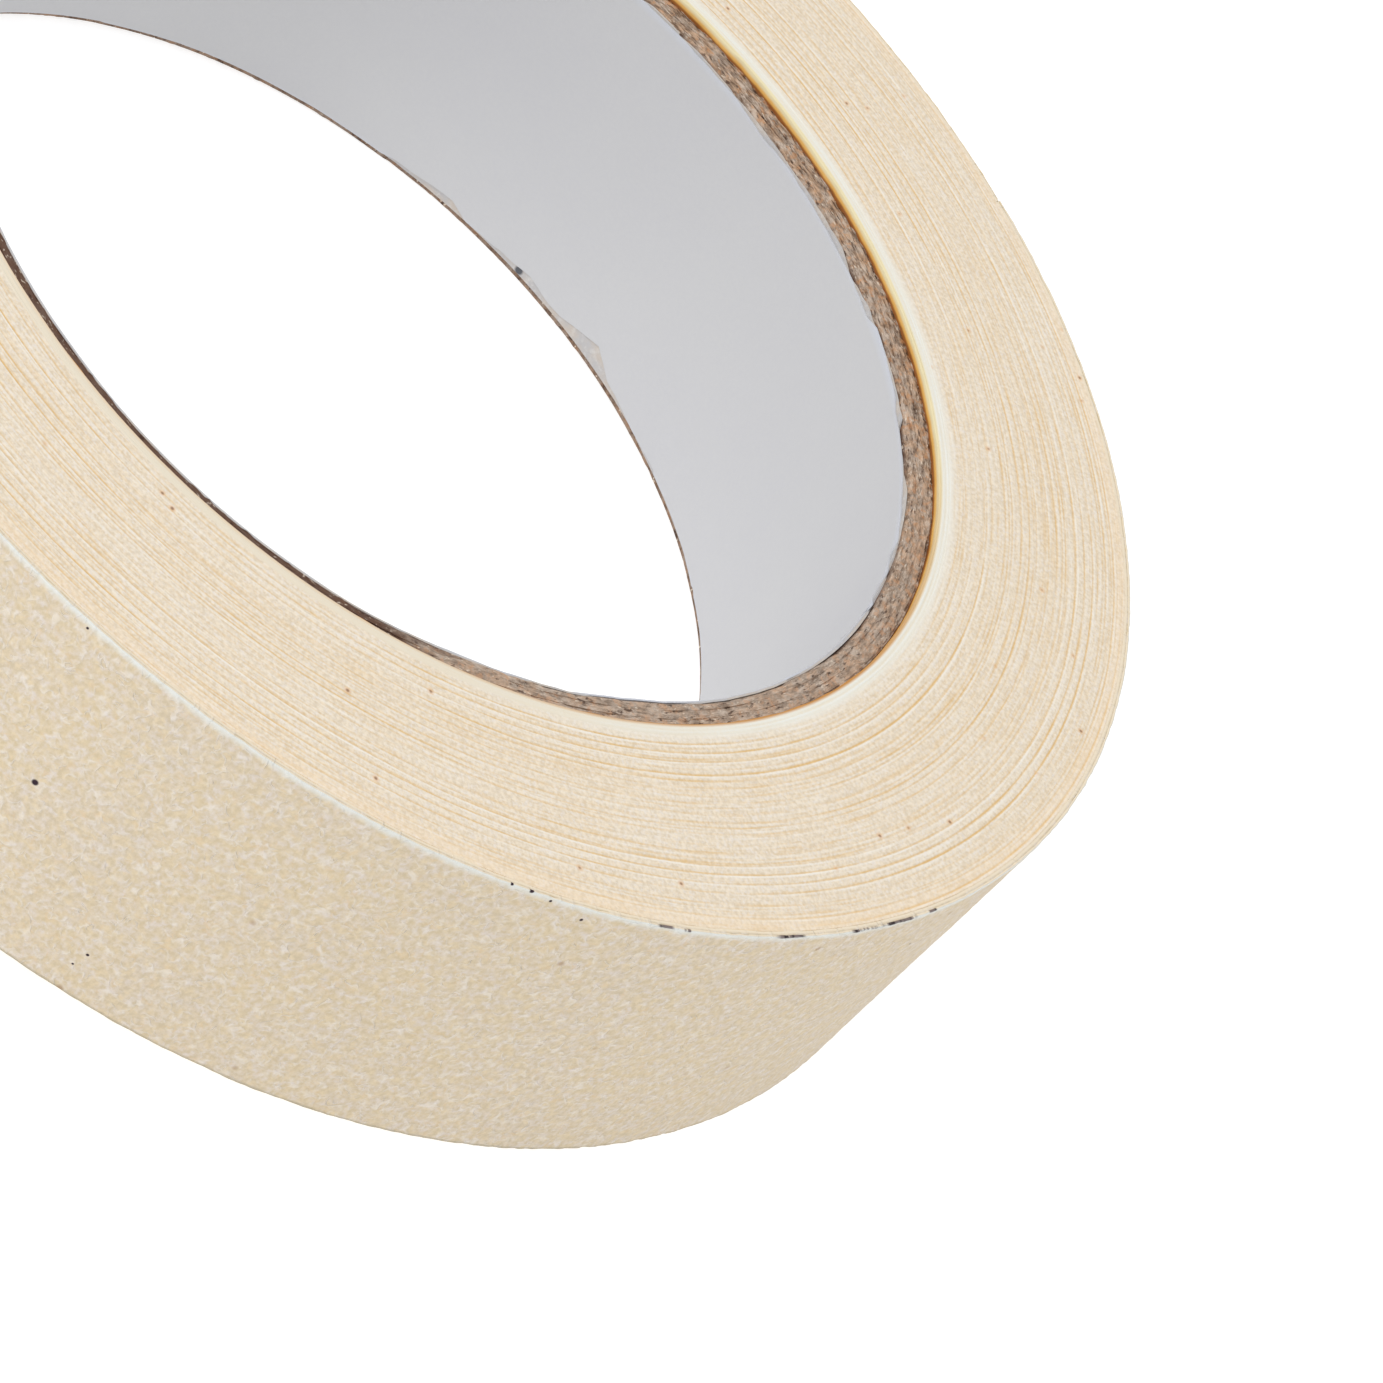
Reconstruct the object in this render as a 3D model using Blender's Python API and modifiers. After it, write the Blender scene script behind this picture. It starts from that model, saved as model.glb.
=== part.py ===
"""A roll of crepe-paper masking tape on a spiral-wound board core.

The roll lies flat on the end of its core: +Z is its axis, z = 0 is the lower end
of the core, and the origin is on the axis there. Metres throughout.
"""

import math

import bpy

# Core, from the bore outwards
BORE_DIAMETER = 0.0762          # fits the hub of a dispenser
CORE_LENGTH = 0.0250
LINER_THICKNESS = 0.00020       # grey paper that lines the bore
BOARD_THICKNESS = 0.00060       # each chipboard ply
BOARD_NAMES = ("core_board_inner", "core_board_middle", "core_board_outer")
WRAP_THICKNESS = 0.00015        # brown kraft ply around the board
GLUE_LINE = 0.00005             # clearance between neighbouring plies and turns

# Seams: every ply is a strip laid on a helix, and its two edges meet at a narrow gap
SEAM_WIDTH = 0.00030
SEAM_TURN = math.radians(60)    # how far a seam runs round the core between its two ends
SEAM_STARTS = {                 # where each seam meets the lower end of the core
    "core_liner": math.radians(-95),
    "core_board_inner": math.radians(175),
    "core_board_middle": math.radians(85),
    "core_board_outer": math.radians(-15),
    "core_wrap": math.radians(225),
}

# Tape
TAPE_WIDTH = 0.0250
TAPE_RISE = 0.0007              # the core has slipped this far down inside the winding
BOND_THICKNESS = 0.00010        # adhesive that holds the first turn to the core
FIRST_TURNS_BUILD = 0.00080     # the innermost few turns, wound tight
ROLL_DIAMETER = 0.1140
OUTER_TURN_THICKNESS = 0.00020
PEEL_CLEARANCE = 0.00030        # under and around the outermost turn

# Free end: the last stretch of the outermost turn, which peels off about a line on the roll
PEEL_LINE_ANGLE = math.radians(80)
FREE_END_LENGTH = 0.0250        # along the surface, from the peel line to the cut edge

ROUND_STEPS = 96                # facets in a full turn
SEAM_STEPS = 12
CUTTER_MARGIN = 0.0004          # how far a seam cutter stands out of its ply
PARTS_COLLECTION = "masking_tape_roll"
CUTTERS_COLLECTION = "masking_tape_roll_cutters"

COLOURS = {                     # base colour, roughness
    "core_liner": ((0.60, 0.62, 0.65), 0.55),
    "core_board_inner": ((0.27, 0.19, 0.13), 0.90),
    "core_board_middle": ((0.30, 0.21, 0.15), 0.90),
    "core_board_outer": ((0.25, 0.17, 0.12), 0.90),
    "core_wrap": ((0.22, 0.12, 0.06), 0.80),
    "core_bond": ((0.62, 0.34, 0.08), 0.45),
    "first_turns": ((0.84, 0.80, 0.66), 0.75),
    "tape_pack": ((0.86, 0.73, 0.52), 0.80),
    "outer_turn": ((0.72, 0.63, 0.47), 0.85),
    "free_end": ((0.72, 0.63, 0.47), 0.85),
}


def clear_scene():
    for obj in list(bpy.data.objects):
        bpy.data.objects.remove(obj)


def new_collection(name):
    collection = bpy.data.collections.new(name)
    bpy.context.scene.collection.children.link(collection)
    return collection


def material_for(name):
    colour, roughness = COLOURS[name]
    material = bpy.data.materials.new(name)
    material.use_nodes = True
    shader = material.node_tree.nodes["Principled BSDF"]
    shader.inputs["Base Color"].default_value = (*colour, 1.0)
    shader.inputs["Roughness"].default_value = roughness
    shader.inputs["Metallic"].default_value = 0.0
    return material


def new_object(name, points, edges, faces, collection):
    mesh = bpy.data.meshes.new(name)
    mesh.from_pydata(points, edges, faces)
    obj = bpy.data.objects.new(name, mesh)
    collection.objects.link(obj)
    return obj


def turn_about_axis(obj, angle, steps):
    screw = obj.modifiers.new("turn", "SCREW")
    screw.axis = "Z"
    screw.angle = angle
    screw.steps = steps
    screw.render_steps = steps
    screw.use_merge_vertices = angle == math.tau
    screw.merge_threshold = 0.000001


def turned_ring(name, inner, outer, bottom, top, collection):
    """A ring with a plain rectangular section, turned from its outline."""
    outline = [(outer, top), (outer, bottom), (inner, bottom), (inner, top)]
    points = [(radius, 0.0, height) for radius, height in outline]
    edges = [(i, (i + 1) % len(points)) for i in range(len(points))]
    ring = new_object(name, points, edges, [], collection)
    turn_about_axis(ring, math.tau, ROUND_STEPS)
    ring.data.materials.append(material_for(name))
    return ring


def curved_strip(name, inner, thickness, bottom, top, start, sweep, collection):
    """A strip of tape that follows the roll from the angle start, through sweep."""
    points = [(inner, 0.0, top), (inner, 0.0, bottom)]
    strip = new_object(name, points, [(0, 1)], [], collection)
    turn_about_axis(strip, sweep, max(4, round(ROUND_STEPS * sweep / math.tau)))
    solidify = strip.modifiers.new("thickness", "SOLIDIFY")
    solidify.thickness = thickness
    solidify.offset = 1.0
    strip.rotation_euler.z = start
    strip.data.materials.append(material_for(name))
    return strip


def seam_cutter(ply, inner, outer, collection):
    """A thin helical ribbon through a ply, which leaves the gap where its edges meet."""
    points, faces = [], []
    for i in range(-1, SEAM_STEPS + 2):      # one step past each end of the ply
        share = i / SEAM_STEPS
        angle = SEAM_STARTS[ply.name] + SEAM_TURN * share
        for radius in (inner - CUTTER_MARGIN, outer + CUTTER_MARGIN):
            points.append((radius * math.cos(angle), radius * math.sin(angle), CORE_LENGTH * share))
    for i in range(0, len(points) - 2, 2):
        faces.append((i, i + 1, i + 3, i + 2))
    cutter = new_object(ply.name + "_seam", points, [], faces, collection)
    solidify = cutter.modifiers.new("thickness", "SOLIDIFY")
    solidify.thickness = SEAM_WIDTH
    solidify.offset = 0.0
    cutter.hide_render = True
    cutter.display_type = "WIRE"
    boolean = ply.modifiers.new("seam", "BOOLEAN")
    boolean.operation = "DIFFERENCE"
    boolean.object = cutter


def build_core(collection, cutters):
    """The plies of the tube, from the bore outwards. Returns the tube's outer radius."""
    plies = [("core_liner", LINER_THICKNESS)]
    plies += [(name, BOARD_THICKNESS) for name in BOARD_NAMES]
    plies.append(("core_wrap", WRAP_THICKNESS))
    inner = BORE_DIAMETER / 2
    for name, thickness in plies:
        outer = inner + thickness
        ply = turned_ring(name, inner, outer, 0.0, CORE_LENGTH, collection)
        seam_cutter(ply, inner, outer, cutters)
        inner = outer + GLUE_LINE
    return outer


def build_winding(core_radius, collection):
    """The wound tape between the core and the outermost turn."""
    bottom, top = TAPE_RISE, TAPE_RISE + TAPE_WIDTH
    inner = core_radius + GLUE_LINE
    for name, build in (("core_bond", BOND_THICKNESS), ("first_turns", FIRST_TURNS_BUILD)):
        turned_ring(name, inner, inner + build, bottom, top, collection)
        inner += build + GLUE_LINE
    outer = ROLL_DIAMETER / 2 - OUTER_TURN_THICKNESS - PEEL_CLEARANCE
    turned_ring("tape_pack", inner, outer, bottom, top, collection)


def build_outermost_turn(collection):
    """The outermost turn, and its free end on a hinge at the peel line."""
    bottom, top = TAPE_RISE, TAPE_RISE + TAPE_WIDTH
    inner = ROLL_DIAMETER / 2 - OUTER_TURN_THICKNESS
    gap = PEEL_CLEARANCE / inner
    sweep = FREE_END_LENGTH / inner
    start = PEEL_LINE_ANGLE + sweep + gap
    curved_strip("outer_turn", inner, OUTER_TURN_THICKNESS, bottom, top,
                 start, math.tau - sweep - 2 * gap, collection)
    free_end = curved_strip("free_end", inner, OUTER_TURN_THICKNESS, bottom, top,
                            PEEL_LINE_ANGLE, sweep, collection)
    hinge = bpy.data.objects.new("peel_line", None)
    radius = inner + OUTER_TURN_THICKNESS / 2
    hinge.location = (radius * math.cos(PEEL_LINE_ANGLE), radius * math.sin(PEEL_LINE_ANGLE),
                      (bottom + top) / 2)
    collection.objects.link(hinge)
    free_end.parent = hinge
    free_end.location = -hinge.location


def shade_round(collection):
    for obj in collection.objects:
        if obj.type == "MESH":
            obj.data.shade_smooth()
            obj.data.set_sharp_from_angle(angle=math.radians(30))


def main():
    clear_scene()
    parts = new_collection(PARTS_COLLECTION)
    cutters = new_collection(CUTTERS_COLLECTION)
    core_radius = build_core(parts, cutters)
    build_winding(core_radius, parts)
    build_outermost_turn(parts)
    shade_round(parts)


main()
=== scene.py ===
"""Looks of the masking tape roll: wound tape, crepe surface, board core and grey liner."""

import math

import bpy
import numpy as np
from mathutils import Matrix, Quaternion, Vector


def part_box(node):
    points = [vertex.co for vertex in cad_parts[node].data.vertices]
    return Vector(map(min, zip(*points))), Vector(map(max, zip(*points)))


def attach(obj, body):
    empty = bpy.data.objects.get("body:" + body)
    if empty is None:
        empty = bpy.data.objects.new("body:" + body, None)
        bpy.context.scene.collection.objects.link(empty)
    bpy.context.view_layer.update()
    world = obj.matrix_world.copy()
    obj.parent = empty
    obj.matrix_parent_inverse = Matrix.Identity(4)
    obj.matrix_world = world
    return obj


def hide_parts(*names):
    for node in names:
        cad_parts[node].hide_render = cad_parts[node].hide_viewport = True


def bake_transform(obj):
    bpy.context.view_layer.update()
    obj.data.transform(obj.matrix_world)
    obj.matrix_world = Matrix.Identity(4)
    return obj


# Sizes are in metres, bearings and arcs in radians, unless a comment says otherwise.
MM = 0.001
TURN = math.tau

# Camera: where it stands round the roll's axis, and the point on the upper face it looks at
CAMERA_STAND_OFF = 0.4009
CAMERA_HEIGHT = 0.3023
CAMERA_BEARING = math.radians(-45)
CAMERA_ROLL = math.radians(45.06)
AIM_RADIUS = 0.0380
AIM_BEARING = math.radians(11.8)
LENS_MM = 189.7
SENSOR_MM = 36

# Light
ROOM_STRENGTH = 0.80
KEY_PLACE = (-0.2, -1.0, 1.1)
KEY_SIZE = 0.5
KEY_POWER = 6.5                 # watts
FLOOR_SIZE = 6.0
FLOOR_GLOW = 0.72

# Wound tape
TURN_PITCH = 0.125 * MM         # one thickness of tape
LINE_WIDTH = 0.15 * MM          # of an edge that shows as an amber line
LINE_SETS = [(0.80 * MM, 1.0), (0.28 * MM, 0.52)]       # spacing and strength of those lines
AROUND_PACK = 300
GLUE_BEARING = math.radians(-35)        # more adhesive was squeezed out on this side
LOOSE_BEARING = math.radians(-90)       # the first turns look less tight on this side

# Outermost turn, whose cut end is where the strip starts
PEEL_BEARING = math.radians(80)
CUT_BEARING = math.radians(105.2)
PEEL_PAST_CUT = PEEL_BEARING - CUT_BEARING + TURN
CUT_GAP = 0.004                 # arc left open between the strip's two ends
CUT_STEP = 0.13 * MM            # the surface drops by this at the cut end
STEP_RAMP = math.radians(70)    # and climbs back over this arc
BEND_LENGTH = 3.5 * MM          # of the tape at the peel; an arc is worked out from it, but the strip is not curled
AROUND_TAPE = 1150              # columns along one whole turn
ROWS_ON_TAPE = 78               # across the tape's width
AROUND_BENEATH = 360
ROWS_BENEATH = 12
# Dirt on the upper rim: bearing of each dash in degrees, length in mm
DIRT_DASHES = [(-1.2, 1.5), (0.6, 0.7), (9.4, 2.9), (16.3, 3.0), (19.9, 4.0), (23.6, 1.0)]
# Dirt on the crepe side: bearing of each speck in degrees, height and radius in mm
SIDE_SPECKS = [(-40.8, 12.6, 0.28), (-30.9, 3.7, 0.14), (-31.2, 2.4, 0.11), (-44.8, 24.5, 0.12),
               (-7.1, 23.9, 0.15), (-10.0, 24.7, 0.13), (-11.6, 25.0, 0.20), (-13.1, 25.0, 0.13),
               (25.9, 20.2, 0.11)]

# Core
AROUND_CORE = 720
AROUND_LINING = 1080
ROWS_ON_TUBE = 22               # up the tube's wall, enough for the seams to climb smoothly
DIP = 0.62 * MM                 # the core's upper end lies this much lower on one side
DIP_BEARING = math.radians(-55)
DIP_HALF_WIDTH = math.radians(18)
DIP_FADE = math.radians(35)
TORN_FACETS = 58                # flakes torn off round the core's inner corner
BUTT_GAP = 0.10 * MM            # between the two edges of a ply at its seam
SEAM_GAP = 0.001                # arc left open at a seam that is hidden
SEAM_TURN = math.radians(60)    # each seam climbs the tube over this arc
SEAM_STARTS = {
    "core_liner": math.radians(-95),
    "core_board_inner": math.radians(175),
    "core_board_middle": math.radians(85),
    "core_board_outer": math.radians(-15),
    "core_wrap": math.radians(225),
}
# Where the lining's front layer is torn back at its two edges: bearing in degrees, depth in mm
LOW_TEARS = [(0, 0), (104, 0.1), (110, 0.4), (113.5, 1.5), (119, 0.45), (121.5, 0.4),
             (124.5, 0.75), (127, 0.45), (134, 0), (136.5, 0.55), (146, 0), (360, 0)]
TOP_TEARS = [(0, 0), (47, 0), (50, 0.6), (54, 0.2), (57.5, 0.5), (59, 0), (360, 0)]
NO_TEARS = [(0, 0), (360, 0)]
HOLE_BEARING = math.radians(126)        # of a dark spot painted as the shade in a small hole in one of the tears

# Meshes
CAP_SHARE = 0.02                # of the bake map's width, kept for the two ends of a strip
SHARP_ANGLE = math.radians(55)


# ---------------------------------------------------------------- measures


def ring_of(node):
    """Inner radius, outer radius, lowest and highest point of a ring-shaped node."""
    low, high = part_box(node)
    radii = [vertex.co.xy.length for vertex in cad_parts[node].data.vertices]
    return min(radii), max(radii), low.z, high.z


def eased(share):
    """0 to 1 with a soft start and a soft end."""
    return share * share * (3 - 2 * share)


def wander(across, turns, cells_across, cells_round, seed):
    """Smooth random values, about -1 to 1, which join up after each whole turn.

    across runs from 0 to 1 over cells_across cells. turns is an angle in whole turns.
    """
    lattice = np.random.default_rng(seed).uniform(-1.5, 1.5, (cells_across + 1, cells_round))
    u, v = np.broadcast_arrays(across * cells_across, turns * cells_round)
    row, column = np.floor(u).astype(int), np.floor(v).astype(int)
    s, t = eased(u - row), eased(v - column)
    row, next_row = (np.clip(step, 0, cells_across) for step in (row, row + 1))
    column, next_column = column % cells_round, (column + 1) % cells_round
    near = lattice[row, column] * (1 - t) + lattice[row, next_column] * t
    far = lattice[next_row, column] * (1 - t) + lattice[next_row, next_column] * t
    return near * (1 - s) + far * s


# ---------------------------------------------------------------- meshes


def polar_points(radius, angle, height):
    radius, angle, height = np.broadcast_arrays(radius, angle, height)
    return np.stack([radius * np.cos(angle), radius * np.sin(angle), height], axis=-1)


def swept(name, points, closed_round, tape=None):
    """A solid from points[row, column]: rows go round its section, columns round the roll.

    A section runs outwards along the top, down the outer wall, in along the bottom and
    up the inner wall. tape gives each point's place on the flat tape, in metres.
    """
    rows, columns, _ = points.shape
    spans = columns if closed_round else columns - 1
    row, column = np.meshgrid(np.arange(rows), np.arange(spans), indexing="ij")
    corners = [(row, column), (row + 1, column), (row + 1, column + 1), (row, column + 1)]
    quads = np.stack(
        [r % rows * columns + c % columns for r, c in corners], axis=-1).reshape(-1, 4)
    cap = cap_triangles(points[:, 0, 2])
    caps = [] if closed_round else [(cap[:, ::-1], 0), (cap, columns - 1)]
    faces = quads.tolist()
    for triangles, end in caps:
        faces += (triangles * columns + end).tolist()
    mesh = bpy.data.meshes.new(name)
    mesh.from_pydata(points.reshape(-1, 3).tolist(), [], faces)

    width = 1.0 if closed_round else 1.0 - CAP_SHARE
    steps = np.linalg.norm(np.diff(points[:, 0], axis=0, append=points[:1, 0]), axis=1)
    climb = np.concatenate([[0.0], np.cumsum(steps)]) / steps.sum()
    places = np.stack([
        np.stack([c / spans * width, climb[r]], axis=-1) for r, c in corners], axis=2)
    cap_places = [cap_map(points[:, end], end)[triangles.ravel()] for triangles, end in caps]
    add_map(mesh, "OFBake", [places.reshape(-1, 2), *cap_places])
    if tape is not None:
        cap_places = [tape[triangles.ravel(), end] for triangles, end in caps]
        add_map(mesh, "tape", [tape.reshape(-1, 2)[quads.ravel()], *cap_places])
    mesh.shade_smooth()
    mesh.set_sharp_from_angle(angle=SHARP_ANGLE)
    piece = bpy.data.objects.new(name, mesh)
    bpy.context.scene.collection.objects.link(piece)
    return piece


def cap_triangles(level):
    """Triangles that close a section, worked down both its walls from the top."""
    outside, inside = 0, len(level) - 1
    triangles = []
    while inside - outside > 1:
        if level[outside + 1] >= level[inside - 1]:
            triangles.append((outside, outside + 1, inside))
            outside += 1
        else:
            triangles.append((outside, inside - 1, inside))
            inside -= 1
    return np.array(triangles)


def cap_map(section, end):
    """Where a strip's end face lies on the bake map: a narrow band past the long faces."""
    radius = np.hypot(section[:, 0], section[:, 1])
    level = section[:, 2]
    u = (radius - radius.min()) / np.ptp(radius)
    v = (level - level.min()) / np.ptp(level)
    half = CAP_SHARE / 2
    start = 1.0 - half if end else 1.0 - CAP_SHARE
    return np.stack([start + (0.2 + 0.6 * u) * half, v], axis=-1)


def add_map(mesh, name, places):
    layer = mesh.uv_layers.new(name=name)
    layer.uv.foreach_set("vector", np.concatenate(places).astype(np.float32).ravel())


def add_values(piece, name, values):
    """One number for each of the piece's points, which its material can read."""
    attribute = piece.data.attributes.new(name, "FLOAT", "POINT")
    attribute.data.foreach_set("value", values.astype(np.float32).ravel())


def dress(piece, material, slot, body, *nodes):
    piece.data.materials.append(material)
    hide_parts(*nodes)
    if body:
        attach(piece, body)


# ---------------------------------------------------------------- node maths

MIX_FIRST, MIX_SECOND, MIX_COLOUR = 6, 7, 2     # sockets of a colour Mix node


class Value:
    """A node socket that ordinary arithmetic joins to Math nodes."""

    def __init__(self, finish, socket):
        self.finish, self.socket = finish, socket

    def __add__(self, other):
        return self.finish.maths("ADD", self, other)

    def __sub__(self, other):
        return self.finish.maths("SUBTRACT", self, other)

    def __rsub__(self, other):
        return self.finish.maths("SUBTRACT", other, self)

    def __mul__(self, other):
        return self.finish.maths("MULTIPLY", self, other)

    def __truediv__(self, other):
        return self.finish.maths("DIVIDE", self, other)

    def __pow__(self, other):
        return self.finish.maths("POWER", self, other)

    def __abs__(self):
        return self.finish.maths("ABSOLUTE", self)

    __radd__, __rmul__ = __add__, __mul__


def linear(colour):
    """A colour given from 0 to 255, as the shader's linear values."""
    parts = [part / 255 for part in colour]
    return (*[p / 12.92 if p <= 0.04045 else ((p + 0.055) / 1.055) ** 2.4 for p in parts], 1.0)


class Finish:
    """A material being made: one Principled shader and the nodes that feed it."""

    def __init__(self, name, constants):
        self.material = bpy.data.materials.new(name)
        self.material.use_nodes = True
        self.tree = self.material.node_tree
        self.shader = self.tree.nodes["Principled BSDF"]
        for socket, value in constants.items():
            self.shader.inputs[socket].default_value = value

    def node(self, kind, settings, sockets):
        node = self.tree.nodes.new(kind)
        for setting, value in settings.items():
            setattr(node, setting, value)
        for key, value in sockets.items():
            self.feed(node.inputs[key], value)
        return node

    def feed(self, socket, value):
        if isinstance(value, Value):
            self.tree.links.new(value.socket, socket)
        else:
            socket.default_value = value

    def drive(self, socket, value):
        self.feed(self.shader.inputs[socket], value)

    def maths(self, operation, *values):
        node = self.node("ShaderNodeMath", {"operation": operation}, dict(enumerate(values)))
        return Value(self, node.outputs[0])

    def vector(self, operation, *values):
        node = self.node("ShaderNodeVectorMath", {"operation": operation},
                         dict(enumerate(values)))
        return Value(self, node.outputs[0])

    def length(self, vector):
        node = self.node("ShaderNodeVectorMath", {"operation": "LENGTH"}, {0: vector})
        return Value(self, node.outputs["Value"])

    def between(self, value, low, high):
        """0 up to low, 1 from high on, and in proportion between them."""
        node = self.node("ShaderNodeMapRange", {"clamp": True},
                         {"Value": value, "From Min": low, "From Max": high})
        return Value(self, node.outputs[0])

    def noise(self, place, scale, detail=2.0, roughness=0.5, distortion=0.0):
        node = self.node("ShaderNodeTexNoise", {}, {
            "Vector": place, "Scale": scale, "Detail": detail,
            "Roughness": roughness, "Distortion": distortion})
        return Value(self, node.outputs["Fac"])

    def worms(self, place, scale, width, distortion=0.0):
        """Thin wandering lines: 1 on a line and 0 away from it."""
        level = self.noise(place, scale, 1.0, 0.5, distortion)
        return 1 - self.between(abs(level - 0.5), 0.0, width)

    def grains(self, place, size, share, scale):
        """Scattered round grains. share is the part of the cells that hold one."""
        node = self.node("ShaderNodeTexVoronoi", {}, {"Vector": place, "Scale": scale})
        near = 1 - self.between(Value(self, node.outputs["Distance"]), size * 0.4, size)
        pick = self.split(Value(self, node.outputs["Color"]))[0]
        return near * self.between(pick, 1 - share, 1 - share + 0.001)

    def mix(self, factor, first, second):
        colours = {MIX_FIRST: first, MIX_SECOND: second}
        colours = {key: colour if isinstance(colour, Value) else linear(colour)
                   for key, colour in colours.items()}
        node = self.node("ShaderNodeMix", {"data_type": "RGBA"}, {0: factor, **colours})
        return Value(self, node.outputs[MIX_COLOUR])

    def split(self, vector):
        node = self.node("ShaderNodeSeparateXYZ", {}, {0: vector})
        return [Value(self, output) for output in node.outputs]

    def join(self, x, y, z):
        return Value(self, self.node("ShaderNodeCombineXYZ", {}, {0: x, 1: y, 2: z}).outputs[0])

    def place(self):
        """The point on the piece, in metres, in the roll's own frame."""
        return Value(self, self.node("ShaderNodeTexCoord", {}, {}).outputs["Object"])

    def tape_place(self):
        """The point on the flat tape, in metres: along it, then across it."""
        return Value(self, self.node("ShaderNodeUVMap", {"uv_map": "tape"}, {}).outputs["UV"])

    def values(self, name):
        node = self.node("ShaderNodeAttribute", {"attribute_name": name}, {})
        return Value(self, node.outputs["Fac"])

    def polar(self, arcs_per_turn, radial_scale):
        """A place whose noise makes long arcs: so many to a turn, fine across the radius."""
        x, y, z = self.split(self.place())
        radius = (x * x + y * y) ** 0.5
        spread = arcs_per_turn / TURN
        depth = radius * radial_scale + z * (0.3 * radial_scale)
        return self.join(x / radius * spread, y / radius * spread, depth), radius

    def spot(self, place, centre, radius):
        """1 inside a round spot, with a soft rim."""
        away = self.length(self.vector("SUBTRACT", place, centre))
        return 1 - self.between(away, 0.6 * radius, radius)

    def toward(self, bearing):
        """1 on the side of the roll that lies at a bearing, fading to 0 on the far side."""
        x, y, _ = self.split(self.place())
        radius = (x * x + y * y) ** 0.5
        facing = (x * math.cos(bearing) + y * math.sin(bearing)) / radius
        return self.between(facing, -0.35, 0.35)

    def bump(self, height, depth):
        """height from 0 to 1 stands for a relief of depth metres."""
        node = self.node("ShaderNodeBump", {}, {"Strength": 1.0, "Distance": depth,
                                                "Height": height})
        self.tree.links.new(node.outputs[0], self.shader.inputs["Normal"])


# ---------------------------------------------------------------- finishes


def wound_edge_finish(inner, outer):
    """Slit edges of the turns: cream paper, amber where adhesive shows between them, painted
    darker there as shade in the grooves and paler as a highlight on the proud turns.
    """
    finish = Finish("wound_edges", {"Roughness": 0.85, "Specular IOR Level": 0.25})
    place = finish.place()
    arcs, radius = finish.polar(90, 5600)
    streak = finish.noise(arcs, 1.0, 3.0, 0.6)
    grain = finish.noise(place, 3300.0, 2.0, 0.6)
    speck = finish.noise(place, 5200.0, 1.0)
    line = finish.values("tone") + (streak - 0.5) * 1.3 + (speck - 0.5) * 0.5
    paper = finish.mix(finish.between(grain, 0.36, 0.64), (222, 207, 184), (240, 226, 204))
    # painted highlight: the proud turns' edges are paler
    paper = finish.mix(finish.between(line, 0.05, 0.8) * 0.8, paper, (247, 243, 234))
    cool = finish.between(finish.noise(place, 4100.0, 2.0), 0.52, 0.66)
    paper = finish.mix(cool * 0.45, paper, (236, 230, 226))
    # amber of the adhesive between the turns, darkened as painted shade in their grooves
    amber = finish.mix(grain, (214, 174, 114), (236, 204, 150))
    paper = finish.mix(finish.between(0 - line, 0.05, 0.9), paper, amber)
    warm = finish.noise(finish.polar(9, 300)[0], 1.0, 1.0)
    rim = finish.between(radius + (warm - 0.5) * (1.4 * MM), outer - 1.4 * MM, outer - 0.5 * MM)
    paper = finish.mix(rim * 0.2, paper, (255, 226, 188))
    blurred = radius + (warm - 0.5) * (0.6 * MM)
    tight = 1 - finish.between(blurred, inner + 0.1 * MM, inner + 0.7 * MM)
    loose = finish.toward(LOOSE_BEARING)
    paper = finish.mix(tight * (0.65 - loose * 0.55), paper, (239, 237, 228))
    halo = finish.grains(place, 0.30, 0.035, 900.0)
    dirt = finish.grains(place, 0.16, 0.035, 900.0)
    paper = finish.mix(halo * 0.5, paper, (226, 172, 116))
    finish.drive("Base Color", finish.mix(dirt * 0.75, paper, (128, 92, 72)))
    finish.bump(streak * 0.6 + grain * 0.4, 0.04 * MM)
    return finish.material


def first_turns_finish(inner):
    """The first turns, wound so tight that adhesive shows only along their inner rim."""
    finish = Finish("tight_edges", {"Roughness": 0.8, "Specular IOR Level": 0.25})
    arcs, radius = finish.polar(60, 6000)
    streak = finish.noise(arcs, 1.0, 3.0, 0.6)
    grain = finish.noise(finish.place(), 4200.0, 2.0, 0.6)
    tone = finish.values("tone") + (streak - 0.5) * 0.8 + (grain - 0.5) * 0.8
    pale = finish.mix(finish.between(tone, -0.9, 0.3), (236, 222, 194), (237, 237, 230))
    smear = (finish.noise(arcs, 0.3, 2.0) - 0.5) * 0.10 * MM
    rim = 1 - finish.between(radius + smear, inner + 0.03 * MM, inner + 0.20 * MM)
    loose = finish.toward(LOOSE_BEARING)
    pale = finish.mix(loose * 0.7, pale, (231, 217, 192))
    gum = finish.mix(finish.toward(GLUE_BEARING), (236, 222, 178), (206, 148, 76))
    finish.drive("Base Color", finish.mix(rim * (0.9 - loose * 0.6), pale, gum))
    finish.bump(streak, 0.04 * MM)
    return finish.material


def adhesive_finish(board_top):
    """Rubber adhesive on the wall above the sunken core, painted darkest down in the corner as
    shade.
    """
    finish = Finish("rubber_adhesive", {"Specular IOR Level": 0.4})
    arcs, _ = finish.polar(120, 3000)
    smear = finish.noise(arcs, 1.0, 3.0, 0.6)
    level = finish.split(finish.place())[2] + (smear - 0.5) * 0.15 * MM
    # painted shade: the adhesive is darkest down in the corner above the board, where shade
    # falls
    corner_shade_amber = finish.mix(smear, (128, 70, 24), (176, 110, 42))
    golden = finish.mix(smear, (224, 166, 76), (238, 190, 104))
    rim = finish.mix(finish.toward(GLUE_BEARING), (235, 222, 180), (200, 138, 64))
    above_corner = finish.between(level, board_top + 0.06 * MM, board_top + 0.22 * MM)
    at_rim = finish.between(level, board_top + 0.28 * MM, board_top + 0.50 * MM)
    finish.drive("Base Color", finish.mix(at_rim, finish.mix(above_corner, corner_shade_amber, golden), rim))
    finish.drive("Roughness", 0.4 + smear * 0.3)
    finish.bump(smear, 0.05 * MM)
    return finish.material


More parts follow.
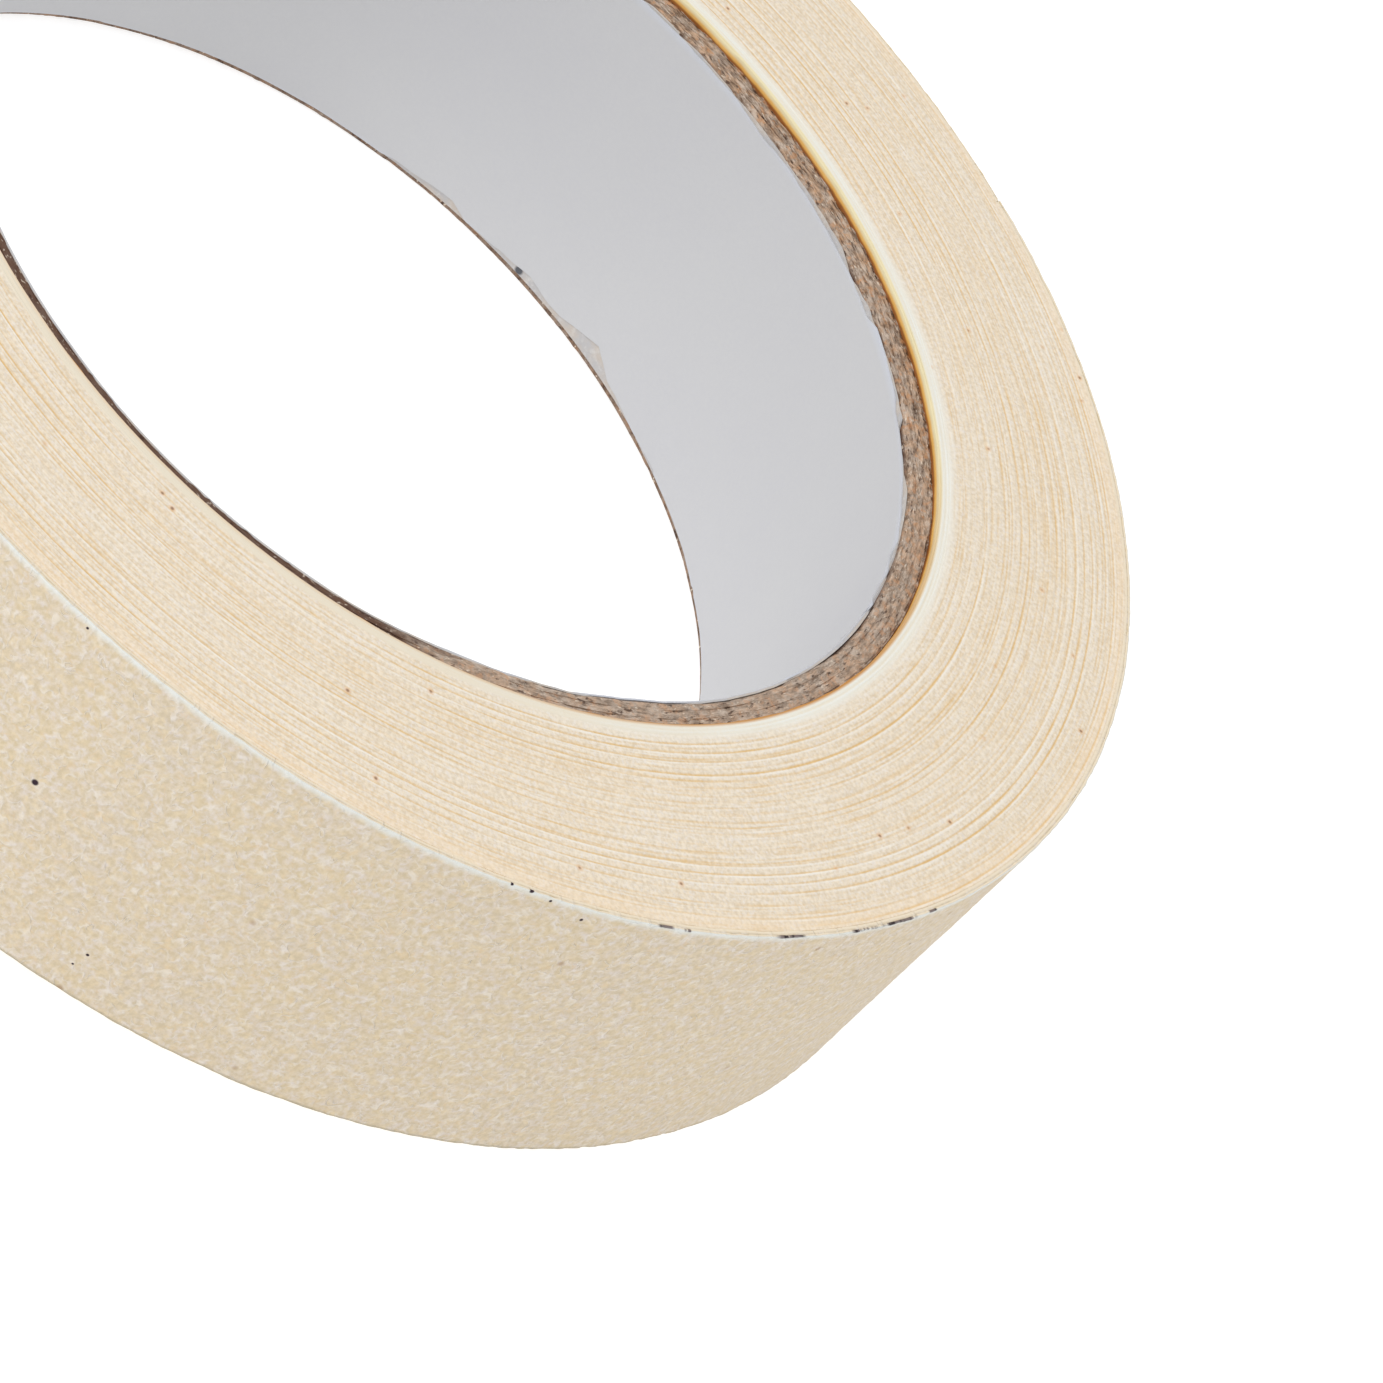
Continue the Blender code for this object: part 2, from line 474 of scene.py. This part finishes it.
def chipboard_finish(name, dark, light, bore):
    """Grey-brown board of pressed waste fibre, darker on its bore wall, and painted darker as
    shade where it dips down into the recess.
    """
    finish = Finish(name, {"Roughness": 0.95, "Specular IOR Level": 0.15})
    place = finish.place()
    arcs, radius = finish.polar(240, 3300)
    lumps = finish.noise(arcs, 1.0, 4.0, 0.75)
    hue = finish.noise(place, 1150.0, 2.0)
    fine = finish.noise(arcs, 2.1, 2.0, 0.6)
    pale = finish.mix(finish.between(hue, 0.42, 0.58), light, (206, 188, 172))
    board = finish.mix(finish.between(lumps, 0.36, 0.62), dark, pale)
    rusty = finish.between(finish.noise(place, 1900.0, 2.0), 0.56, 0.66)
    board = finish.mix(rusty * 0.5, board, (206, 150, 104))
    board = finish.mix(finish.toward(GLUE_BEARING) * 0.3, board, (194, 180, 166))
    wall = 1 - finish.between(radius, bore + 0.03 * MM, bore + 0.12 * MM)
    board = finish.mix(wall * 0.55, board, (112, 92, 80))
    low, high = ring_of("core_board_inner")[2:]
    level = finish.split(place)[2]
    # painted shade: darker where the board lies lower in the recess under the tape's rim, as
    # where its end dips
    sunken = 1 - finish.between(level, high - 0.5 * MM, high - 0.3 * MM)
    sunken = sunken * finish.between(level, (low + high) / 2, high - DIP)
    board = finish.mix(sunken * 0.85, board, (86, 58, 46))
    flecks = finish.between(fine, 0.63, 0.70)
    board = finish.mix(flecks * 0.7, board, (236, 222, 204))
    pits = finish.between(finish.noise(arcs, 1.4, 3.0, 0.6), 0.58, 0.67)
    finish.drive("Base Color", finish.mix(pits * 0.8, board, (72, 54, 46)))
    finish.bump(lumps * 0.6 + fine * 0.4, 0.14 * MM)
    return finish.material


def liner_finish(low, high):
    """Smooth light grey paper, a little blue at its cut edges."""
    finish = Finish("grey_liner", {"Roughness": 0.7, "Specular IOR Level": 0.3})
    place = finish.place()
    level = finish.split(place)[2]
    cloud = finish.noise(place, 60.0, 3.0)
    grain = finish.noise(place, 3500.0, 2.0)
    grey = finish.mix(finish.between(cloud * 0.6 + grain * 0.4, 0.3, 0.7),
                      (199, 199, 202), (203, 203, 204))
    middle = (low + high) / 2
    edge = finish.between(abs(level - middle), (high - low) / 2 - 0.8 * MM,
                          (high - low) / 2 - 0.1 * MM)
    finish.drive("Base Color", finish.mix(edge * 0.5, grey, (206, 212, 226)))
    finish.bump(grain, 0.01 * MM)
    return finish.material


def backing_finish(hole):
    """The lining's torn inner layer, rough and a little brown, its grey painted darker as shade
    under the torn front layer, with a dark spot painted as the shade in one small hole.
    """
    finish = Finish("torn_backing", {"Roughness": 0.9, "Specular IOR Level": 0.2})
    place = finish.place()
    fluff = finish.noise(place, 1700.0, 4.0, 0.7)
    tint = finish.noise(place, 700.0, 2.0)
    # painted shade: the backing's grey is darker to stand for the shade under the torn front
    # layer
    paper = finish.mix(finish.between(tint, 0.4, 0.6), (190, 188, 188), (198, 189, 180))
    paper = finish.mix(finish.between(fluff, 0.5, 0.8), paper, (214, 211, 208))
    # painted shade: a dark spot stands for the shade inside a small hole
    dark = finish.spot(place, hole, 0.42 * MM)
    finish.drive("Base Color", finish.mix(dark * 0.9, paper, (74, 78, 86)))
    finish.bump(fluff, 0.05 * MM)
    return finish.material


def crepe_finish(name, width, burred=True):
    """Crinkled beige masking paper, with a pale burr along the upper slit edge.

    The attribute "side" is 0 on the paper side, 1 on the sticky side and 0.5 on the edges.
    """
    finish = Finish(name, {"Specular IOR Level": 0.3})
    place = finish.tape_place()
    along, across, _ = finish.split(place)
    stretched = finish.join(along * 1.2, across, 0.0)
    worms = finish.worms(stretched, 1020.0, 0.085, 0.6)
    worms = worms * finish.between(finish.noise(place, 1300.0, 2.0), 0.42, 0.58)
    strays = finish.worms(place, 1150.0, 0.06, 0.5)
    strays = strays * finish.between(finish.noise(place, 900.0, 2.0), 0.50, 0.62)
    crinkle = finish.noise(stretched, 2100.0, 3.0, 0.6)
    cloud = finish.between(finish.noise(place, 140.0, 3.0), 0.35, 0.65)
    tint = finish.between(finish.noise(place, 1050.0, 3.0, 0.6), 0.40, 0.60)
    # painted shade and highlight: the crinkles' hollows are darker and their crests paler
    hollow_shade = finish.mix(cloud, (207, 190, 158), (203, 188, 162))
    crest_highlight = finish.mix(tint, (221, 204, 174), (218, 207, 196))
    paper = finish.mix(finish.between(crinkle, 0.36, 0.62), hollow_shade, crest_highlight)
    paper = finish.mix(strays * 0.4, paper, (218, 190, 148))
    # fibres, painted paler as highlights along the crepe's raised ridges
    paper = finish.mix(worms * 0.52, paper, (236, 230, 222))
    side = finish.values("side")
    # the slit edges are cream, painted paler as a highlight where the rim's corner catches light
    paper = finish.mix(finish.between(side, 0.1, 0.5), paper, (236, 222, 198))
    if burred:
        from_edge = width / 2 - abs(across - width / 2)
        ragged = (finish.noise(place, 1000.0, 3.0, 0.6) - 0.5) * 0.6 * MM
        burr = 1 - finish.between(from_edge + ragged, 0.06 * MM, 0.56 * MM)
        burr = burr * (1 - finish.between(side, 0.1, 0.4))
        burr = burr * finish.between(across, width * 0.4, width * 0.6)
        paper = finish.mix(burr * 0.8, paper, (227, 232, 230))
        # painted shade: a dark band along the lower slit edge, where the roll stands on the
        # floor
        lower_edge_shade = 1 - finish.between(across + ragged * 0.2, 0.06 * MM, 0.24 * MM)
        paper = finish.mix(lower_edge_shade * 0.5, paper, (142, 136, 114))
        flecks = finish.grains(place, 0.15, 0.05, 480.0)
        paper = finish.mix(flecks * 0.5, paper, (150, 112, 78))
        dirt = dirt_on_rim(finish, place, width)
        paper = finish.mix(dirt * 0.85, paper, (92, 74, 78))
        cores = finish.between(finish.noise(place, 1400.0, 1.0), 0.50, 0.58)
        paper = finish.mix(dirt * cores * 0.9, paper, (34, 22, 26))
        paper = finish.mix(specks_on_side(finish, place), paper, (48, 32, 44))
    gum = finish.mix(finish.noise(place, 700.0, 3.0), (222, 196, 140), (232, 212, 165))
    sticky = finish.between(side, 0.9, 1.0)
    finish.drive("Base Color", finish.mix(sticky, paper, gum))
    finish.drive("Roughness", 0.82 - sticky * 0.45)
    finish.bump(worms * 0.5 + crinkle * 0.5, 0.09 * MM)
    return finish.material


def along_at(bearing):
    """The place along the outermost turn at a bearing in degrees."""
    return (math.radians(bearing) - CUT_BEARING) % TURN * ring_of("outer_turn")[1]


def dirt_on_rim(finish, place, width):
    """Dark dashes rubbed into the upper slit edge."""
    along, across, _ = finish.split(place)
    wobble = (finish.noise(place, 1500.0, 2.0) - 0.5) * 0.3 * MM
    dashes = 0.0
    for bearing, length in DIRT_DASHES:
        away = abs(along - along_at(bearing) + wobble)
        dashes = dashes + (1 - finish.between(away, 0.3 * length * MM, 0.5 * length * MM))
    upper = finish.between(across + wobble * 0.5, width - 0.14 * MM, width - 0.04 * MM)
    broken = finish.between(finish.noise(place, 1100.0, 3.0, 0.7), 0.35, 0.45)
    return dashes * upper * broken


def specks_on_side(finish, place):
    """Small round specks of dirt on the crepe side."""
    total = 0.0
    for bearing, level, radius in SIDE_SPECKS:
        total = total + finish.spot(place, (along_at(bearing), level * MM, 0.0), radius * MM)
    return total


# ---------------------------------------------------------------- wound tape


def turn_edges(across, turns, width, strength, seed):
    """Height in metres and tone of the turns' edges, at places across the ring's width.

    Here and there a turn sits low, so adhesive shows, and the next one stands proud. The tone
    paints the low turn darker as shade and the proud one paler as a highlight.
    """
    random = np.random.default_rng(seed)
    low = proud = 0.0
    for spacing, weight in LINE_SETS:
        for index in range(round(width / spacing)):
            centre = (index + random.uniform(0.1, 0.9)) * spacing
            shown = 0.45 + 0.65 * wander(0.5, turns, 1, 9, random.integers(10 ** 6))
            shown = np.clip(shown, 0, 1) * weight * strength
            away = (across * width - centre) / (0.55 * LINE_WIDTH)
            low = low + shown * np.exp(-away ** 2)
            proud = proud + shown * np.exp(-(away - 1.9) ** 2)
    fine = wander(across, turns, round(width / TURN_PITCH), 80, seed + 2)
    broad = wander(across, turns, 8, 5, seed + 3)
    height = (0.022 * proud - 0.035 * low + 0.010 * fine + 0.02 * broad) * MM
    return height, 0.6 * proud - 0.9 * low + 0.10 * fine + 0.08 * broad


def wound_ring(name, inner, outer, low, high, strength, seed):
    """A ring of wound turns, with the relief of their edges on both faces."""
    turns = (np.arange(AROUND_PACK) / AROUND_PACK)[None, :]
    count = round((outer - inner) / TURN_PITCH)
    fine_rows = np.linspace(0, 1, 2 * count + 1)[:, None]
    coarse_rows = np.linspace(1, 0, max(5, 2 * count // 3))[:, None]
    wall = np.linspace(0, 1, 6)[1:-1, None]
    upper, upper_tone = turn_edges(fine_rows, turns, outer - inner, strength, seed)
    lower, lower_tone = turn_edges(coarse_rows, turns, outer - inner, strength, seed + 20)
    around = np.ones_like(turns)
    radius = [inner + (outer - inner) * fine_rows, outer + 0 * wall,
              inner + (outer - inner) * coarse_rows, inner + 0 * wall]
    height = [high + upper, high + (low - high) * wall, low - lower, low + (high - low) * wall]
    tone = [upper_tone, 0 * wall, lower_tone, 0 * wall]
    radius, height, tone = (
        np.concatenate([part * around for part in parts]) for parts in (radius, height, tone))
    piece = swept(name, polar_points(radius, turns * TURN, height), closed_round=True)
    add_values(piece, "tone", tone)
    return piece


def wound_tape():
    _, inner, low, high = ring_of("first_turns")
    outer = ring_of("tape_pack")[1]
    piece = wound_ring("wound_tape", inner, outer, low, high, 1.0, seed=101)
    dress(piece, wound_edge_finish(inner, outer), "tape_edge", "roll", "tape_pack")


def tight_first_turns():
    inner = ring_of("core_bond")[1]
    _, outer, low, high = ring_of("first_turns")
    piece = wound_ring("tight_first_turns", inner, outer, low, high, 0.5, seed=151)
    dress(piece, first_turns_finish(inner), "pale_tape_edge", "roll", "first_turns")


def adhesive_film():
    """The adhesive between the core and the first turn, squeezed out a little."""
    inner = ring_of("core_wrap")[1]
    _, outer, low, high = ring_of("core_bond")
    turns = (np.arange(AROUND_CORE) / AROUND_CORE)[None, :]
    squeeze = (0.05 * wander(0.5, turns, 1, 160, 171) - 0.06) * MM
    inside = inner + (0.03 + 0.02 * wander(0.5, turns, 1, 220, 172)) * MM
    middle = (inner + outer) / 2
    around = np.ones_like(turns)
    radius = [inside, middle * around, outer * around, outer * around, middle * around,
              inside, inner * around]
    height = [high + squeeze - 0.05 * MM, high + squeeze, high + squeeze * 0.3, low * around,
              low * around, low * around, (low + high) / 2 * around]
    points = polar_points(np.concatenate(radius), turns * TURN, np.concatenate(height))
    finish = adhesive_finish(ring_of("core_wrap")[3])
    dress(swept("adhesive_film", points, closed_round=True), finish, "adhesive", "roll",
          "core_bond")


# ---------------------------------------------------------------- crepe tape


def crinkles(along, across, length):
    """Relief of the crepe paper in metres, at places along and across the tape."""
    turns = along / length
    ribs = wander(across, turns, 26, round(length / (0.55 * MM)), 201)
    fine = wander(across, turns, 55, round(length / (0.40 * MM)), 202)
    broad = wander(across, turns, 9, round(length / (2.5 * MM)), 203)
    return (0.016 * ribs + 0.012 * fine + 0.010 * broad) * MM


def crepe_strip(name, start, end, columns, inner, outer_at, low, high, rows=ROWS_ON_TAPE):
    """A strip of tape round the roll, from one distance past the cut to another, in radians.

    outer_at gives the outer radius at those distances.
    """
    turn_length = TURN * ring_of("outer_turn")[1]
    past_cut = np.linspace(start, end, columns)[None, :]
    along = past_cut / TURN * turn_length
    rise = np.linspace(1, 0, rows)[:, None]
    outside = outer_at(past_cut) + crinkles(along, rise, turn_length) - 0.02 * MM
    edge_noise = 0.03 * MM * wander(0.5, along / turn_length, 1, 700, 211)
    top, bottom = high + edge_noise, low - edge_noise
    middle = (inner + outside) / 2
    inside = np.full_like(outside, inner)
    radius = [inside[:1], middle[:1], outside, middle[-1:], inside[-1:], inside[:1]]
    height = [top - 0.02 * MM, top + 0.02 * MM, bottom + (top - bottom) * rise,
              bottom - 0.02 * MM, bottom + 0.02 * MM, (bottom + top) / 2]
    radius, height = np.concatenate(radius), np.concatenate(height)
    angle = past_cut + CUT_BEARING
    places = np.stack([np.broadcast_to(along, height.shape), height - low], axis=-1)
    piece = swept(name, polar_points(radius, angle, height), closed_round=False, tape=places)
    side = np.zeros_like(radius)
    side[[1, rows + 2]] = 0.5
    side[[0, *range(rows + 3, len(side))]] = 1.0
    add_values(piece, "side", side)
    return piece


def outer_radius_at(past_cut):
    """The outermost turn climbs from the turn beneath after the cut end."""
    outer = ring_of("outer_turn")[1]
    return outer - CUT_STEP * (1 - eased(np.clip(past_cut / STEP_RAMP, 0, 1)))


def outermost_turn():
    inner, _, low, high = ring_of("outer_turn")
    columns = round(AROUND_TAPE * PEEL_PAST_CUT / TURN)
    piece = crepe_strip("outermost_turn", CUT_GAP, PEEL_PAST_CUT, columns, inner,
                        outer_radius_at, low, high)
    dress(piece, crepe_finish("crepe_paper", high - low), "crepe_paper", "roll", "outer_turn")


def free_end_strip():
    inner, outer, low, high = ring_of("outer_turn")
    columns = round(AROUND_TAPE * (TURN - PEEL_PAST_CUT) / TURN)
    piece = crepe_strip("free_end_strip", PEEL_PAST_CUT, TURN, columns, inner + 0.03 * MM,
                        outer_radius_at, low, high)
    dress(piece, crepe_finish("crepe_free_end", high - low), "crepe_paper", None, "free_end")
    bend = BEND_LENGTH / outer
    start, end = (polar_points(outer, PEEL_BEARING + turn, (low + high) / 2)
                  for turn in (0.0, bend))
    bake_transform(piece)


def turn_beneath():
    """The turn under the outermost one. It shows where the free end is peeled away."""
    _, inner, low, high = ring_of("tape_pack")
    outer = ring_of("outer_turn")[0] + 0.04 * MM
    piece = crepe_strip("turn_beneath", 0.0, TURN - SEAM_GAP, AROUND_BENEATH, inner - 0.02 * MM,
                        lambda past_cut: outer + 0 * past_cut, low, high - 0.02 * MM,
                        ROWS_BENEATH)
    finish = crepe_finish("crepe_beneath", high - low, burred=False)
    dress(piece, finish, "crepe_paper", "roll", "tape_pack")


# ---------------------------------------------------------------- core


def dip(angle):
    """How much lower the core's upper end lies, as it was cut a little out of square."""
    away = np.abs((angle - DIP_BEARING + TURN / 2) % TURN - TURN / 2)
    share = 1 - np.clip((away - DIP_HALF_WIDTH) / DIP_FADE, 0, 1)
    return DIP * eased(share)


def torn_edge(turns, seed):
    """How far the core's cut end is torn back at its inner corner, in metres."""
    random = np.random.default_rng(seed)
    corners = np.sort(random.uniform(0, 1, TORN_FACETS))
    facets = np.interp(turns, corners, random.uniform(0.0, 0.55, TORN_FACETS), period=1)
    nicks = 0.07 * np.maximum(wander(0.5, turns, 1, 240, seed + 1), 0)
    spared = 0.85 * dip(turns * TURN) / DIP         # torn less where the end lies deeper
    return (facets + nicks) * (1 - spared) * MM


def cut_end(radius, turns, seed):
    """Relief of the core's cut end, the same for all its plies."""
    inner = ring_of("core_liner")[0]
    outer = ring_of("core_wrap")[1]
    across = np.clip((radius - inner) / (outer - inner), 0, 1)
    lumps = wander(across, turns, 5, 190, seed)
    fibres = wander(across, turns, 17, 560, seed + 1)
    return (0.05 * lumps + 0.05 * fibres - 0.06) * MM


def core_ply(name, node, inner, outer, finish, slot, torn=False, end_rows=7):
    """One ply of the spiral-wound tube. Its seam climbs round the tube."""
    low, high = ring_of(node)[2:]
    gap = BUTT_GAP / inner
    spread = np.linspace(gap / 2, TURN - gap / 2, AROUND_CORE)[None, :]
    ends = np.linspace(0, 1, end_rows)[:, None]
    wall = np.linspace(0, 1, ROWS_ON_TUBE)[1:-1, None]

    def cut(climb, seed):
        """Angle, radius and torn depth of one cut end, climb being its share of the height."""
        angle = SEAM_STARTS[node] + SEAM_TURN * climb + spread
        share = 0.15 + 0.85 * climb         # torn less at the lower end
        back = share * torn_edge(angle / TURN, seed + 7) if torn else 0 * angle
        return angle, inner + back * 0.8 + (outer - inner - back * 0.8) * ends, back

    top_angle, top_radius, top_back = cut(1.0, 301)
    low_angle, low_radius, low_back = cut(0.0, 341)
    high = high - dip(top_angle)
    top_height = high + cut_end(top_radius, top_angle / TURN, 301)
    low_height = low - cut_end(low_radius, low_angle / TURN, 341)
    torn_top, torn_low = high - top_back - 0.02 * MM, low + low_back + 0.02 * MM
    full = 0 * spread
    radius = [top_radius, outer + full + 0 * wall, low_radius[::-1],
              inner + full, inner + full + 0 * wall, inner + full]
    height = [top_height, high + (low - high) * wall, low_height[::-1],
              torn_low, torn_low + (torn_top - torn_low) * wall, torn_top]
    angle = [top_angle + 0 * ends, top_angle + (low_angle - top_angle) * wall,
             low_angle + 0 * ends, low_angle, low_angle + (top_angle - low_angle) * wall,
             top_angle]
    points = polar_points(*(np.concatenate(part) for part in (radius, angle, height)))
    dress(swept(name, points, closed_round=False), finish, slot, "roll", node)


def bore_lining():
    """Grey paper inside the bore: a front layer, and a backing that shows where it is torn."""
    inner, outer, low, high = ring_of("core_liner")
    middle = (inner + outer) / 2
    front = lining_layer("bore_lining", inner, middle + 0.02 * MM, LOW_TEARS, TOP_TEARS, 308)
    dress(front, liner_finish(low, high), "liner_paper", "roll", "core_liner")
    backing = lining_layer("lining_backing", middle, outer + 0.03 * MM, NO_TEARS, NO_TEARS, 361)
    hole = tuple(polar_points(middle, HOLE_BEARING, low + 0.75 * MM))
    dress(backing, backing_finish(hole), "liner_paper", "roll", "core_liner")


def lining_layer(name, inner, outer, low_tears, top_tears, seed):
    """One layer of the lining. The tears give bearings and how far it is torn back there."""
    low, high = ring_of("core_liner")[2:]
    spread = np.linspace(SEAM_GAP, TURN - SEAM_GAP, AROUND_LINING)[None, :]
    low_angle = SEAM_STARTS["core_liner"] + spread
    top_angle = low_angle + SEAM_TURN
    low_torn, top_torn = (
        np.interp(np.degrees(angle) % 360, *zip(*tears)) * MM
        for angle, tears in ((low_angle, low_tears), (top_angle, top_tears)))
    bottom = low + 0.40 * MM + low_torn + 0.4 * torn_edge(low_angle / TURN, seed + 40)
    top = high - dip(top_angle) - 0.04 * MM - top_torn - torn_edge(top_angle / TURN, seed)
    down = np.linspace(1, 0, ROWS_ON_TUBE)[:, None]
    up = down[::-1]
    radius = [outer + 0 * spread + 0 * down, inner + 0 * spread + 0 * up]
    height = [bottom + (top - bottom) * share for share in (down, up)]
    angle = [low_angle + (top_angle - low_angle) * share for share in (down, up)]
    points = polar_points(*(np.concatenate(part) for part in (radius, angle, height)))
    return swept(name, points, closed_round=False)


def build_core():
    plies = ["core_board_inner", "core_board_middle", "core_board_outer", "core_wrap"]
    bore = ring_of("core_board_inner")[0]
    board = chipboard_finish("chipboard", (114, 92, 75), (206, 174, 147), bore)
    kraft = chipboard_finish("kraft_paper", (84, 56, 38), (138, 98, 66), bore)
    bore_lining()
    for index, node in enumerate(plies):
        inner = ring_of(node)[0]
        outer = ring_of(node)[1]
        if node != "core_wrap":
            outer = ring_of(plies[index + 1])[0] + 0.01 * MM
        finish, slot = (kraft, "kraft_wrap") if node == "core_wrap" else (board, "chipboard")
        core_ply(node.replace("core", "tube"), node, inner, outer, finish, slot, torn=index == 0)


# ---------------------------------------------------------------- stage


def build_stage():
    bpy.ops.mesh.primitive_plane_add(size=FLOOR_SIZE)
    floor = bpy.context.object
    floor.name = "floor"
    finish = Finish("floor_paper", {
        "Base Color": (0.5, 0.5, 0.5, 1.0), "Roughness": 1.0, "Specular IOR Level": 0.0,
        "Emission Color": (1.0, 1.0, 1.0, 1.0), "Emission Strength": FLOOR_GLOW})
    floor.data.materials.append(finish.material)


def add_area_light(name, place, size, power):
    data = bpy.data.lights.new(name, "AREA")
    data.shape = "DISK"
    data.size = size
    data.energy = power
    light = bpy.data.objects.new(name, data)
    light.location = place
    light.rotation_mode = "QUATERNION"
    light.rotation_quaternion = (-Vector(place)).to_track_quat("-Z", "Y")
    bpy.context.scene.collection.objects.link(light)


def build_light():
    world = bpy.data.worlds.new("studio")
    bpy.context.scene.world = world
    world.use_nodes = True
    background = world.node_tree.nodes["Background"]
    background.inputs["Color"].default_value = (1.0, 1.0, 1.0, 1.0)
    background.inputs["Strength"].default_value = ROOM_STRENGTH
    bpy.context.scene.view_settings.view_transform = "Standard"
    add_area_light("key", KEY_PLACE, KEY_SIZE, KEY_POWER)


def build_camera():
    data = bpy.data.cameras.new("camera")
    data.lens = LENS_MM
    data.sensor_width = SENSOR_MM
    camera = bpy.data.objects.new("camera", data)
    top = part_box("tape_pack")[1].z
    camera.location = (CAMERA_STAND_OFF * math.cos(CAMERA_BEARING),
                       CAMERA_STAND_OFF * math.sin(CAMERA_BEARING), CAMERA_HEIGHT)
    aim = Vector((AIM_RADIUS * math.cos(AIM_BEARING), AIM_RADIUS * math.sin(AIM_BEARING), top))
    level = (aim - camera.location).to_track_quat("-Z", "Y")
    camera.rotation_mode = "QUATERNION"
    camera.rotation_quaternion = level @ Quaternion((0, 0, 1), CAMERA_ROLL)
    bpy.context.scene.collection.objects.link(camera)
    bpy.context.scene.camera = camera


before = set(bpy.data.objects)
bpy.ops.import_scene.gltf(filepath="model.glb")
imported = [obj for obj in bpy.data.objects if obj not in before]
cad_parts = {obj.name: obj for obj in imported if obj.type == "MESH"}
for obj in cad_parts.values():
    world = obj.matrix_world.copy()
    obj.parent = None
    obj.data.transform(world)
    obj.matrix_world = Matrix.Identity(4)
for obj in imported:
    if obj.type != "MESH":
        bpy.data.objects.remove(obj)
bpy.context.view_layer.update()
build_camera()
build_light()
build_stage()
build_core()
adhesive_film()
tight_first_turns()
wound_tape()
turn_beneath()
outermost_turn()
free_end_strip()
